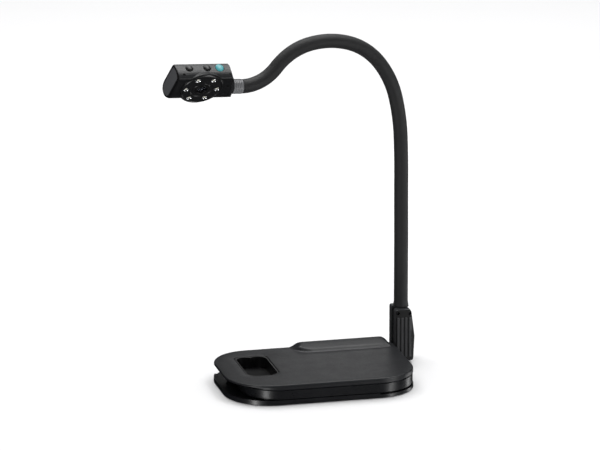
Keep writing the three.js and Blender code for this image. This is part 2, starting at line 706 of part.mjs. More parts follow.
function makeCollar() {
  const profile = [[5.4, 0]];
  const pitch = collarLength / 5.5;
  profile.push([7.7, 0]);
  for (let ring = 0; ring < 5; ring += 1) {
    const start = pitch * (ring + 0.35);
    profile.push([7.9, start], [7.9, start + pitch * 0.5]);
    profile.push([7.4, start + pitch * 0.62], [7.4, start + pitch * 0.86]);
  }
  profile.push([7.8, collarLength], [5.4, collarLength], [5.4, 0]);
  return turned(profile, 28).rotate([0, 90, 0]).translate([neckEntry.u, neckEntry.v, neckEntry.n]);
}

function makeUpperFerrule() {
  return bar('x', [neckEntry.u - 2.2, neckEntry.v, neckEntry.n], collarLength + 2.1, 5.3, 28);
}

// Assembly
const group = new THREE.Group();
group.name = 'book_scanner';

function addPiece(name, solid, finish) {
  const mesh = new THREE.Mesh(toGeometry(solid), new THREE.MeshStandardMaterial(finish));
  mesh.name = name;
  group.add(mesh);
}

addPiece('bottom_plate', makeSteelPlate(), steelFinish);
addPiece('tray', makeTray(), plasticDark);
addPiece('housing_wall', makeHousing(), plasticDark);
addPiece('top_cover', makeCover(), plasticDark);
addPiece('head_nest', makeNest(), plasticBlack);
addPiece('ballast', makeBallast(), steelFinish);
addPiece('main_board', makeBoard(), boardGreen);
addPiece('usb_port', makePort(), steelFinish);
addPiece('lock_slot', makeLockSlot(), steelFinish);
footSpots.forEach((spot, index) => addPiece(`foot_${index + 1}`, makeFoot(spot), rubberBlack));
screwSpots.forEach((spot, index) => addPiece(`case_screw_${index + 1}`, makeCaseScrew(spot), screwFinish));
addPiece('mast_front_cover', makeMastFront(), plasticGrey);
addPiece('mast_core', makeMastCore(), plasticBlack);
addPiece('mast_rear_cover', makeMastRear(), plasticGrey);
addPiece('mast_post', makeMastPost(), steelFinish);
mastScrewSpots.forEach((spot, index) => {
  addPiece(`mast_screw_${index + 1}`, makeMastScrew(spot), screwFinish);
});
addPiece('neck_boot', makeBoot(), neckFinish);
neckSections().forEach((section, index, all) => {
  addPiece(`neck_section_${index + 1}`, makeSection(section, index === all.length - 1), neckFinish);
});
addPiece('upper_ferrule', placeHead(makeUpperFerrule()), steelFinish);
addPiece('swivel_collar', placeHead(makeCollar()), plasticGrey);
addPiece('head_housing', placeHead(makeHeadHousing()), plasticGrey);
addPiece('end_cap', placeHead(makeEndCap()), plasticGrey);
addPiece('bezel', placeHead(makeBezel()), plasticDark);
lightSpots.forEach((spot, index) => {
  addPiece(`light_${index + 1}`, placeHead(makeLight(spot)), lightFinish);
});
addPiece('light_board', placeHead(makeLightBoard()), boardGreen);
addPiece('lens_barrel', placeHead(makeLensBarrel()), plasticBlack);
addPiece('lens_glass', placeHead(makeLensGlass()), glassFinish);
addPiece('sensor_board', placeHead(makeSensorBoard()), boardGreen);
addPiece('button_board', placeHead(makeButtonBoard()), boardGreen);
buttonList.forEach((button) => {
  const finish = { color: button.color, roughness: 0.4, metalness: 0 };
  addPiece(button.name, placeHead(makeButton(button)), finish);
});
bezelScrewSpots.forEach((spot, index) => {
  addPiece(`bezel_screw_${index + 1}`, placeHead(makeBezelScrew(spot)), screwFinish);
});
frontScrews.forEach((u, index) => {
  addPiece(`front_screw_${index + 1}`, placeHead(makeFrontScrew(u)), screwFinish);
});

// The origin is the middle of the whole part's underside
const bounds = new THREE.Box3().setFromObject(group);
const middle = bounds.getCenter(new THREE.Vector3());
group.children.forEach((mesh) => {
  mesh.geometry.translate(-middle.x, -middle.y, -bounds.min.z);
});

export default group;
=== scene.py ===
import json
import math

import bmesh
import bpy
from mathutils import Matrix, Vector
from mathutils.geometry import delaunay_2d_cdt

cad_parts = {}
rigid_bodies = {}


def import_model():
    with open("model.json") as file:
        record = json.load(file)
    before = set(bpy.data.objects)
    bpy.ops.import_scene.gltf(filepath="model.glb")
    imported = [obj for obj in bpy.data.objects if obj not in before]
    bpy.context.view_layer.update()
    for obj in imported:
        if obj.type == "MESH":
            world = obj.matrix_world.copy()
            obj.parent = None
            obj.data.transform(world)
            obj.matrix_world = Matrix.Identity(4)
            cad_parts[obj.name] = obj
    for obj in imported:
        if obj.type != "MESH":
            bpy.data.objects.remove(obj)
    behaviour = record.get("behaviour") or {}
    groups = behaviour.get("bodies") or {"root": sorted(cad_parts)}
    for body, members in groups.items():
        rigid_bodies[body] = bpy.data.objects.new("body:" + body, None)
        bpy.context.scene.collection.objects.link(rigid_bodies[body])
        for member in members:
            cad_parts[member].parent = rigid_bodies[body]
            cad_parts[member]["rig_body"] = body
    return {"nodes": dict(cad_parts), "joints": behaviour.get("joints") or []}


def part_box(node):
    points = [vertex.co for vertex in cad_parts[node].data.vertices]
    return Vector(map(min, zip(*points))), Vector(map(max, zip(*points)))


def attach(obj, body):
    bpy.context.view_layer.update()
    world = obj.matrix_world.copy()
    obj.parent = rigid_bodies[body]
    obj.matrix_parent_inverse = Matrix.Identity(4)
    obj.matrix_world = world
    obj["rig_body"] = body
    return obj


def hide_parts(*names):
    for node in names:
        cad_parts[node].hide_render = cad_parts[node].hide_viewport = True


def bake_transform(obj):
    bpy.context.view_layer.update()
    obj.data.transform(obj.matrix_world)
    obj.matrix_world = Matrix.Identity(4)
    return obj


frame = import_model()
cadNodes = frame["nodes"]
cadJoints = {joint["name"]: joint for joint in frame["joints"]}
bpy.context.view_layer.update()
mm = 0.001
print("frame loaded,", len(cadNodes), "nodes")

# the cover's own corner is where the base is measured from
coverLow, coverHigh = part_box("top_cover")


def at(x, y, z):
    return Vector((coverLow.x + x * mm, coverLow.y + y * mm, z * mm))


def newMaterial(name):
    material = bpy.data.materials.new(name)
    material.use_nodes = True
    tree = material.node_tree
    tree.nodes.clear()
    output = tree.nodes.new("ShaderNodeOutputMaterial")
    shader = tree.nodes.new("ShaderNodeBsdfPrincipled")
    tree.links.new(shader.outputs[0], output.inputs[0])
    return material, tree, shader


def addNode(tree, kind, **values):
    node = tree.nodes.new("ShaderNode" + kind)
    for key, value in values.items():
        if hasattr(node, key):
            setattr(node, key, value)
        else:
            node.inputs[key.replace("_", " ")].default_value = value
    return node


def noise(tree, vector, scale, detail=3.0, rough=0.5):
    node = addNode(tree, "TexNoise")
    node.inputs["Scale"].default_value = scale
    node.inputs["Detail"].default_value = detail
    node.inputs["Roughness"].default_value = rough
    tree.links.new(vector, node.inputs["Vector"])
    return node.outputs["Fac"]


def spread(tree, value, low, high, fromLow=0.3, fromHigh=0.7):
    node = addNode(tree, "MapRange")
    limits = {"From Min": fromLow, "From Max": fromHigh, "To Min": low, "To Max": high}
    for socket, number in limits.items():
        node.inputs[socket].default_value = number
    tree.links.new(value, node.inputs["Value"])
    return node.outputs[0]


def mixColor(tree, factor, first, second):
    node = addNode(tree, "Mix", data_type="RGBA")
    tree.links.new(factor, node.inputs[0])
    node.inputs[6].default_value = (*first, 1)
    node.inputs[7].default_value = (*second, 1)
    return node.outputs[2]


def math2(tree, operation, first, second):
    node = addNode(tree, "Math", operation=operation)
    for index, value in enumerate((first, second)):
        if isinstance(value, (int, float)):
            node.inputs[index].default_value = value
        else:
            tree.links.new(value, node.inputs[index])
    return node.outputs[0]


def shade(color, factor):
    return tuple(min(1.0, channel * factor) for channel in color)


def paint(tree, shader, factor, first, second):
    tree.links.new(mixColor(tree, factor, first, second), shader.inputs["Base Color"])


# moulded plastic: fine spark texture, faint uneven gloss, a few rubbed places
def mouldedPlastic(name, color, roughness, grain=0.00003, grainSize=1100, rub=0.05, coat=0.0):
    material, tree, shader = newMaterial(name)
    place = addNode(tree, "TexCoord").outputs["Object"]
    cloudy = noise(tree, place, 14, 4, 0.6)
    blotch = noise(tree, place, 55, 6, 0.7)
    fine = noise(tree, place, grainSize, 2.5, 0.6)
    paint(tree, shader, spread(tree, cloudy, 0, 1), shade(color, 0.9), shade(color, 1.12))
    rubbed = spread(tree, blotch, roughness - rub, roughness + rub)
    glossy = math2(tree, "ADD", rubbed, spread(tree, fine, -0.05, 0.05))
    tree.links.new(glossy, shader.inputs["Roughness"])
    bump = addNode(tree, "Bump")
    bump.inputs["Strength"].default_value = 0.55
    bump.inputs["Distance"].default_value = grain
    tree.links.new(fine, bump.inputs["Height"])
    tree.links.new(bump.outputs[0], shader.inputs["Normal"])
    shader.inputs["Specular IOR Level"].default_value = 0.5
    shader.inputs["Coat Weight"].default_value = coat
    shader.inputs["Coat Roughness"].default_value = 0.2
    return material


# metal with lengthwise brushing and slight tarnish
def brushedMetal(name, color, roughness):
    material, tree, shader = newMaterial(name)
    place = addNode(tree, "TexCoord").outputs["Object"]
    stretch = addNode(tree, "Mapping")
    stretch.inputs["Scale"].default_value = (1, 14, 1)
    tree.links.new(place, stretch.inputs["Vector"])
    lines = noise(tree, stretch.outputs[0], 260, 4, 0.6)
    cloudy = noise(tree, place, 40, 4, 0.6)
    paint(tree, shader, spread(tree, cloudy, 0, 1), shade(color, 0.8), color)
    tree.links.new(spread(tree, lines, roughness - 0.1, roughness + 0.12), shader.inputs["Roughness"])
    bump = addNode(tree, "Bump")
    bump.inputs["Strength"].default_value = 0.25
    bump.inputs["Distance"].default_value = 0.00002
    tree.links.new(lines, bump.inputs["Height"])
    tree.links.new(bump.outputs[0], shader.inputs["Normal"])
    shader.inputs["Metallic"].default_value = 1.0
    return material


# woven sleeve: two sets of crossing threads, laid out in the sleeve's own lengths
def wovenSleeve(name, color, pitch=1.15, height=0.00011):
    material, tree, shader = newMaterial(name)
    flat = addNode(tree, "UVMap").outputs[0]
    parts = addNode(tree, "SeparateXYZ")
    tree.links.new(flat, parts.inputs[0])
    along, around = parts.outputs[0], parts.outputs[1]
    waves = []
    for sign in (1, -1):
        slanted = math2(tree, "ADD", along, math2(tree, "MULTIPLY", around, sign))
        phase = math2(tree, "MULTIPLY", slanted, 2 * math.pi / pitch)
        waves.append(math2(tree, "MULTIPLY_ADD", math2(tree, "SINE", phase, 0), 0.5))
    weave = math2(tree, "MAXIMUM", *waves)
    place = addNode(tree, "TexCoord").outputs["Object"]
    lint = noise(tree, place, 700, 3, 0.7)
    cloudy = noise(tree, place, 25, 3, 0.6)
    total = math2(tree, "ADD", weave, math2(tree, "MULTIPLY", lint, 0.35))
    # the weave pattern is painted darker in the valleys between threads, painted shade, and lighter on
    # the crests, with lint noise
    paint(tree, shader, spread(tree, total, 0, 1, 0.2, 1.2), shade(color, 0.45), shade(color, 1.25))
    tree.links.new(spread(tree, cloudy, 0.5, 0.62), shader.inputs["Roughness"])
    bump = addNode(tree, "Bump")
    bump.inputs["Strength"].default_value = 0.8
    bump.inputs["Distance"].default_value = height
    tree.links.new(total, bump.inputs["Height"])
    tree.links.new(bump.outputs[0], shader.inputs["Normal"])
    shader.inputs["Sheen Weight"].default_value = 0.06
    shader.inputs["Sheen Roughness"].default_value = 0.5
    return material


def clearLens(name, color, roughness, ior=1.5):
    material, tree, shader = newMaterial(name)
    place = addNode(tree, "TexCoord").outputs["Object"]
    dust = noise(tree, place, 900, 4, 0.7)
    paint(tree, shader, spread(tree, dust, 0, 1), shade(color, 0.94), color)
    cleaned = spread(tree, dust, roughness, roughness + 0.05, 0.5, 0.8)
    tree.links.new(cleaned, shader.inputs["Roughness"])
    shader.inputs["Transmission Weight"].default_value = 1.0
    shader.inputs["IOR"].default_value = ior
    return material


def boardFinish(name, color):
    material, tree, shader = newMaterial(name)
    place = addNode(tree, "TexCoord").outputs["Object"]
    tracks = addNode(tree, "TexBrick")
    tracks.inputs["Scale"].default_value = 240
    tracks.inputs["Color1"].default_value = (*shade(color, 0.8), 1)
    tracks.inputs["Color2"].default_value = (*color, 1)
    tracks.inputs["Mortar"].default_value = (*shade(color, 1.7), 1)
    tracks.inputs["Mortar Size"].default_value = 0.012
    tree.links.new(place, tracks.inputs["Vector"])
    tree.links.new(tracks.outputs[0], shader.inputs["Base Color"])
    tree.links.new(spread(tree, noise(tree, place, 120), 0.35, 0.5), shader.inputs["Roughness"])
    return material


# each moulded finish: colour, roughness and whatever else differs
mouldedFinishes = {
    "coverPlastic": ((0.0092, 0.0100, 0.0118), 0.42, {}),
    "casePlastic": ((0.0066, 0.0070, 0.0082), 0.32, {}),
    # painted shade: the nest's plastic is darkened to stand for the shade inside the recess
    "nestPlastic": ((0.0032, 0.0033, 0.0037), 0.38, {"grain": 0.00002}),
    "mastPlastic": ((0.036, 0.0368, 0.039), 0.32, {}),
    # painted shade for the sunk strips between the mast's ribs
    "mastShade": ((0.0045, 0.0047, 0.0052), 0.42, {}),
    # painted shade: near-black lining for the head's screw holes
    "pitPlastic": ((0.0012, 0.0012, 0.0013), 0.6, {"grain": 0.00001}),
    "headPlastic": ((0.0145, 0.0150, 0.0163), 0.33, {"grain": 0.00002, "grainSize": 1500}),
    "bezelPlastic": ((0.0065, 0.0067, 0.0074), 0.33, {"grain": 0.00002, "grainSize": 1500}),
    "blackPlastic": ((0.005, 0.005, 0.0055), 0.30, {"grain": 0.00001}),
    "collarPlastic": ((0.13, 0.132, 0.138), 0.25, {"grain": 0.00001}),
    "capPlastic": ((0.060, 0.061, 0.065), 0.38, {"grain": 0.00002, "grainSize": 1500}),
    "tealPlastic": ((0.05, 0.30, 0.33), 0.30, {"grain": 0.00001, "coat": 0.3}),
    "footRubber": ((0.012, 0.012, 0.012), 0.8, {"grain": 0.00006, "grainSize": 700}),
    "innerGlass": ((0.004, 0.005, 0.012), 0.08, {"grain": 0.000002, "rub": 0.02, "coat": 0.6}),
    "lampChip": ((0.75, 0.73, 0.62), 0.5, {"grain": 0.00001}),
}
finishes = {
    "plateSteel": brushedMetal("plateSteel", (0.42, 0.43, 0.44), 0.38),
    "screwSteel": brushedMetal("screwSteel", (0.03, 0.03, 0.033), 0.42),
    "neckSleeve": wovenSleeve("neckSleeve", (0.0088, 0.0091, 0.0101)),
    "lightLens": clearLens("lightLens", (0.95, 0.96, 0.95), 0.02, 1.45),
    "frontGlass": clearLens("frontGlass", (0.62, 0.66, 0.78), 0.01),
    "board": boardFinish("board", (0.01, 0.07, 0.03)),
    "reflector": brushedMetal("reflector", (0.75, 0.76, 0.78), 0.22),
}
for name, (color, roughness, rest) in mouldedFinishes.items():
    finishes[name] = mouldedPlastic(name, color, roughness, **rest)
print("materials ready,", len(finishes))


def newPiece(name, mesh, finish, body=None, stands=()):
    piece = bpy.data.objects.new(name, mesh)
    bpy.context.scene.collection.objects.link(piece)
    mesh.materials.clear()
    mesh.materials.append(finishes[finish])
    if body:
        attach(piece, body)
    if stands:
        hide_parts(*stands)
    return piece


def softenEdges(piece, width, angle=35, segments=2):
    bevel = piece.modifiers.new("edges", "BEVEL")
    bevel.width = width
    bevel.segments = segments
    bevel.limit_method = "ANGLE"
    bevel.angle_limit = math.radians(angle)
    bevel.harden_normals = False
    bevel.use_clamp_overlap = True
    for polygon in piece.data.polygons:
        polygon.use_smooth = True
    even = piece.modifiers.new("normals", "WEIGHTED_NORMAL")
    even.keep_sharp = True
    even.weight = 80


# a finer standing piece made from the CAD node's own solid, with its edges rounded
def refined(node, finish, edge=0.35, angle=35, segments=2, extra=()):
    mesh = cadNodes[node].data.copy()
    work = bmesh.new()
    work.from_mesh(mesh)
    bmesh.ops.remove_doubles(work, verts=work.verts, dist=2e-6)
    bmesh.ops.dissolve_limit(work, angle_limit=math.radians(0.8), verts=work.verts, edges=work.edges)
    work.to_mesh(mesh)
    work.free()
    piece = newPiece(node + "_shown", mesh, finish, cadNodes[node]["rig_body"], (node, *extra))
    softenEdges(piece, edge * mm, angle, segments)
    return piece


# gives the faces that pass a test a second finish
def twoTone(piece, finish, chosen):
    piece.data.materials.append(finishes[finish])
    for polygon in piece.data.polygons:
        if chosen(polygon.center, polygon.normal):
            polygon.material_index = 1


def ringMesh(name, rings, closedEnds=(True, True), uv=None):
    work = bmesh.new()
    rows = [[work.verts.new(point) for point in ring] for ring in rings]
    count = len(rings[0])
    layer = work.loops.layers.uv.new("lengths") if uv else None
    for i in range(len(rows) - 1):
        for j in range(count):
            k = (j + 1) % count
            face = work.faces.new((rows[i][j], rows[i][k], rows[i + 1][k], rows[i + 1][j]))
            face.smooth = True
            if uv:
                for loop, (r, c) in zip(face.loops, ((i, j), (i, j + 1), (i + 1, j + 1), (i + 1, j))):
                    loop[layer].uv = uv(r, c)
    if closedEnds[0]:
        work.faces.new(list(reversed(rows[0])))
    if closedEnds[1]:
        work.faces.new(rows[-1])
    mesh = bpy.data.meshes.new(name)
    work.normal_update()
    work.to_mesh(mesh)
    work.free()
    return mesh


# sides: how many extra points go on the right, back, left and front runs
def roundedOutline(low, high, radii, steps=20, sides=(0, 0, 0, 0)):
    frontLeft, frontRight, backRight, backLeft = radii
    arcs = []
    corners = (
        (high[0] - frontRight, low[1] + frontRight, frontRight, -90),
        (high[0] - backRight, high[1] - backRight, backRight, 0),
        (low[0] + backLeft, high[1] - backLeft, backLeft, 90),
        (low[0] + frontLeft, low[1] + frontLeft, frontLeft, 180),
    )
    for x, y, radius, start in corners:
        turns = [math.radians(start + 90 * step / steps) for step in range(steps + 1)]
        arcs.append([(x + radius * math.cos(turn), y + radius * math.sin(turn)) for turn in turns])
    points = []
    for index, arc in enumerate(arcs):
        points += arc
        x0, y0 = arc[-1]
        x1, y1 = arcs[(index + 1) % 4][0]
        for step in range(1, sides[index] + 1):
            share = step / (sides[index] + 1)
            points.append((x0 + (x1 - x0) * share, y0 + (y1 - y0) * share))
    return points


def smoothStep(value, low, high):
    t = min(1.0, max(0.0, (value - low) / (high - low)))
    return t * t * (3 - 2 * t)


cover = {
    "length": (coverHigh.x - coverLow.x) / mm,
    "depth": (coverHigh.y - coverLow.y) / mm,
    "radii": (50, 44, 18, 42),
    "top": 22.3,
    "plateBottom": 20.0,
    "rimBottom": 16.3,
    "edge": 1.4,
    "skirtWall": 2.4,
    "skirtStep": 0.8,     # chamfer that leaves a groove over the housing wall
    "nest": ((24, 38), (60, 110), (13, 13, 7, 7)),
    "hump": {"left": 91, "right": 199, "front": 107.6, "rise": 6.4, "corner": 22},
}


def humpInside(x, y):
    hump = cover["hump"]
    left, front, corner = hump["left"], hump["front"], hump["corner"]
    if x < left + corner and y < front + corner:
        return corner - math.hypot(left + corner - x, front + corner - y)
    return min(x - left, y - front)


def softMin(values, blend):
    low = min(values)
    total = sum(math.exp(-(value - low) / blend) for value in values)
    return low - blend * math.log(total)


def humpRise(x, y):
    hump = cover["hump"]
    inside = humpInside(x, y)
    if inside <= 0:
        return 0.0
    depth = y - hump["front"]
    stepUp = 2.7 * smoothStep(inside, 0, 4.2) + 3.7 * min(1.0, max(0.0, (inside - 3.4) / 17.0))
    slope = 2.7 + 3.9 * min(1.0, max(0.0, (depth - 3.4) / 16.0)) ** 0.9
    ramp = hump["rise"] * smoothStep(x, hump["left"] - 1, hump["left"] + 15) * 1.08 + 0.05
    toEnd = min(1.0, max(0.0, (hump["right"] - x) / 14))
    fall = hump["rise"] * 1.05 * (1 - (1 - toEnd) ** 3) - 0.1
    back = hump["rise"] * 1.05 - 3.2 * smoothStep(y, cover["depth"] - 5.5, cover["depth"] + 0.5)
    flank = max(stepUp, slope * smoothStep(inside, 0, 4.2))
    height = softMin([flank, ramp, fall, back, hump["rise"] * 1.05], 0.32)
    return max(0.0, height) * smoothStep(inside, 0, 1.2)


def shrunkOutline(low, high, corner, inset):
    slim = [max(radius - inset, 0.5) for radius in corner]
    nearCorner, farCorner = (low[0] + inset, low[1] + inset), (high[0] - inset, high[1] - inset)
    return roundedOutline(nearCorner, farCorner, slim, 26)


def buildCover():
    length, depth = cover["length"], cover["depth"]
    radii, edge, top = cover["radii"], cover["edge"], cover["top"]
    holeLow, holeHigh, holeRadii = cover["nest"]

    def outline(inset):
        slim = [max(radius - inset, 1) for radius in radii]
        high = (length - inset, depth - inset)
        return roundedOutline((inset, inset), high, slim, 26, (12, 90, 4, 12))

    def holeLine(out):
        low = (holeLow[0] - out, holeLow[1] - out)
        high = (holeHigh[0] + out, holeHigh[1] + out)
        return roundedOutline(low, high, [radius + out for radius in holeRadii], 14)

    def insideHole(middle, out):
        return inMargin(middle.x - holeLow[0] + out, middle.y - holeLow[1] + out,
                        holeHigh[0] - holeLow[0] + 2 * out, holeHigh[1] - holeLow[1] + 2 * out,
                        [radius + out for radius in holeRadii], 0)

    inner = outline(edge)
    holeEdge = 0.9
    hole = list(reversed(holeLine(holeEdge)))
    points = list(inner) + list(hole)
    edges = [(i, (i + 1) % len(inner)) for i in range(len(inner))]
    edges += [(len(inner) + i, len(inner) + (i + 1) % len(hole)) for i in range(len(hole))]
    pitch = 1.3
    hump = cover["hump"]
    x = hump["left"] - 4
    while x < length - 3:
        y = hump["front"] - 4
        while y < depth - edge - 0.5:
            if inMargin(x, y, length, depth, radii, edge + 0.5):
                points.append((x, y))
            y += pitch
        x += pitch
    for i in range(1, 26):
        for j in range(1, 14):
            x, y = i * 8.0, j * 8.0
            nearHole = holeLow[0] - 3 < x < holeHigh[0] + 3 and holeLow[1] - 3 < y < holeHigh[1] + 3
            if y < hump["front"] - 5 and not nearHole and inMargin(x, y, length, depth, radii, 4):
                points.append((x, y))
    flat = [Vector(point) for point in points]
    verts, _, faces, _, _, _ = delaunay_2d_cdt(flat, edges, [], 1, 1e-4)
    work = bmesh.new()
    made = [work.verts.new(at(v.x, v.y, top + humpRise(v.x, v.y))) for v in verts]
    for face in faces:
        corners = [verts[i] for i in face]
        middle = sum((Vector(c) for c in corners), Vector((0, 0))) / len(corners)
        if insideHole(middle, holeEdge):
            continue
        area = (corners[1] - corners[0]).cross(corners[2] - corners[0])
        order = face if area > 0 else list(reversed(face))
        work.faces.new([made[i] for i in order]).smooth = True
    work.verts.ensure_lookup_table()
    # walls down from the rounded edges, outside and at the nest
    rounding = 6
    rims = []
    for step in range(rounding + 1):
        turn = math.pi / 2 * step / rounding
        rims.append((edge * (1 - math.sin(turn)), -edge * (1 - math.cos(turn))))
    loops = []
    for inset, drop in rims:
        ring = outline(inset)
        loops.append([at(p[0], p[1], top + humpRise(*inner[i]) + drop) for i, p in enumerate(ring)])
    loops.append([at(p[0], p[1], cover["plateBottom"]) for p in outline(0)])
    loops.append([at(p[0], p[1], cover["plateBottom"]) for p in outline(2.0)])
    addWall(work, loops)
    holeLoops = []
    for step in range(5):
        turn = math.pi / 2 * step / 4
        out = holeEdge * (1 - math.sin(turn))
        level = top - holeEdge * (1 - math.cos(turn))
        holeLoops.append([at(p[0], p[1], level) for p in reversed(holeLine(out))])
    holeLoops.append([at(p[0], p[1], cover["plateBottom"]) for p in reversed(holeLine(0))])
    addWall(work, holeLoops)
    # flat underside over the neck's channel, open at the nest
    under = outline(0.6)
    nestLine = holeLine(0)
    edges = [(i, (i + 1) % len(under)) for i in range(len(under))]
    edges += [(len(under) + i, len(under) + (i + 1) % len(nestLine)) for i in range(len(nestLine))]
    flat = [Vector(point) for point in under + nestLine]
    verts, _, faces, _, _, _ = delaunay_2d_cdt(flat, edges, [], 1, 1e-4)
    below = [work.verts.new(at(v.x, v.y, cover["plateBottom"])) for v in verts]
    for face in faces:
        middle = sum((verts[i] for i in face), Vector((0, 0))) / len(face)
        if not insideHole(middle, 0):
            work.faces.new([below[i] for i in reversed(face)])
    # skirt round the closed part of the base
    skirts = (
        ((16, 0), (length, depth - 18.5), (40, 44, 6, 12)),
        ((93, 83), (length, depth), (1, 1, 18, 4)),
    )
    wall, step = cover["skirtWall"], cover["skirtStep"]
    for low, high, corner in skirts:
        outer = roundedOutline(low, high, corner, 26)
        tight = shrunkOutline(low, high, corner, step)
        within = shrunkOutline(low, high, corner, wall)
        rows = [(outer, cover["plateBottom"] + 0.2), (outer, cover["rimBottom"] + step),
                (tight, cover["rimBottom"]), (within, cover["rimBottom"]), (within, cover["plateBottom"])]
        addWall(work, [[at(p[0], p[1], z) for p in ring] for ring, z in rows])
    bmesh.ops.remove_doubles(work, verts=work.verts, dist=1e-6)
    work.normal_update()
    mesh = bpy.data.meshes.new("coverShell")
    work.to_mesh(mesh)
    work.free()
    piece = newPiece("coverShell", mesh, "coverPlastic", "base", ("top_cover",))
    for polygon in mesh.polygons:
        polygon.use_smooth = True
    mesh.set_sharp_from_angle(angle=math.radians(40))
    return piece


def inMargin(x, y, length, depth, radii, margin):
    frontLeft, frontRight, backRight, backLeft = radii
    if x < margin or y < margin or x > length - margin or y > depth - margin:
        return False
    corners = (
        (frontLeft, frontLeft, frontLeft, -1, -1),
        (length - frontRight, frontRight, frontRight, 1, -1),
        (length - backRight, depth - backRight, backRight, 1, 1),
        (backLeft, depth - backLeft, backLeft, -1, 1),
    )
    for cx, cy, radius, sx, sy in corners:
        if (x - cx) * sx > 0 and (y - cy) * sy > 0 and math.hypot(x - cx, y - cy) > radius - margin:
            return False
    return True


def addWall(work, loops):
    rows = [[work.verts.new(point) for point in loop] for loop in loops]
    count = len(rows[0])
    for i in range(len(rows) - 1):
        for j in range(count):
            k = (j + 1) % count
            face = work.faces.new((rows[i][k], rows[i][j], rows[i + 1][j], rows[i + 1][k]))
            face.smooth = True


buildCover()
refined("tray", "casePlastic", 0.5)
refined("housing_wall", "casePlastic", 0.7)
# the nest gets the darkened plastic, painted shade
refined("head_nest", "nestPlastic", 1.2, segments=4)
refined("bottom_plate", "plateSteel", 0.2)
refined("ballast", "plateSteel", 0.8)
refined("main_board", "board", 0.15)
refined("usb_port", "reflector", 0.2)
refined("lock_slot", "plateSteel", 0.2)
for number in range(1, 5):
    refined(f"foot_{number}", "footRubber", 0.15)
    refined(f"case_screw_{number}", "screwSteel", 0.1)
print("base built")

mastFront = refined("mast_front_cover", "mastPlastic", 0.45, 40, 3)
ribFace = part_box("mast_front_cover")[0].y

# the sunk strips between the ribs get painted shade, a darker copy of the mast plastic
def betweenRibs(middle, normal):
    return normal.y < -0.9 and middle.y > ribFace + 0.5 * mm


twoTone(mastFront, "mastShade", betweenRibs)
refined("mast_core", "blackPlastic", 0.3)
refined("mast_rear_cover", "mastPlastic", 0.6, 40, 3)
refined("mast_post", "plateSteel", 0.3)
for number in (1, 2):
    refined(f"mast_screw_{number}", "screwSteel", 0.1)
print("mast built")

sleeve = {
    "radius": 7.6,
    "sides": 48,
    "ringStep": 1.5,
    "bendLength": 11.0,   # a length either side of a joint
    "firstBend": 7.0,     # less at the mast, where the sleeve has no room
    "footRadius": 8.4,
    "footLength": 7.5,
}
neckJoints = [cadJoints[f"neck_{kind}_{i}"] for i in range(1, 6) for kind in ("arch", "sway")]
neckPoints = [Vector(joint["pos_m"]) for joint in (*neckJoints, cadJoints["head_swivel"])]


# one bend of the neck: starts at a point in a direction and ends at the next point
def arcPiece(start, heading, end):
    chord = end - start
    across = chord.normalized()
    turn = heading.angle(across) * 2
    leaving = (2 * across * across.dot(heading) - heading).normalized()
    return {"start": start, "heading": heading, "chord": chord, "turn": turn, "leaving": leaving}


def arcLength(piece):
    chord = piece["chord"].length
    return chord if piece["turn"] < 1e-4 else piece["turn"] * chord / 2 / math.sin(piece["turn"] / 2)


def alongArc(piece, share):
    turn = piece["turn"]
    if turn < 1e-4:
        return piece["start"] + piece["chord"] * share, piece["heading"]
    inward = (piece["leaving"] - piece["heading"] * piece["heading"].dot(piece["leaving"])).normalized()
    radius = piece["chord"].length / 2 / math.sin(turn / 2)
    angle = turn * share
    point = piece["start"] + piece["heading"] * radius * math.sin(angle)
    point += inward * radius * (1 - math.cos(angle))
    return point, piece["heading"] * math.cos(angle) + inward * math.sin(angle)


arcs = []
heading = Vector((0, 0, 1))
for start, end in zip(neckPoints, neckPoints[1:]):
    arcs.append(arcPiece(start, heading, end))
    heading = arcs[-1]["leaving"]
sideways = Vector(cadJoints["neck_arch_1"]["axis"]).normalized()


def sleeveRing(point, direction, radius):
    across = (sideways - direction * sideways.dot(direction)).normalized()
    other = direction.cross(across)
    count = sleeve["sides"]
    ring = []
    for index in range(count):
        angle = 2 * math.pi * index / count
        ring.append(point + (across * math.cos(angle) + other * math.sin(angle)) * radius * mm)
    return ring


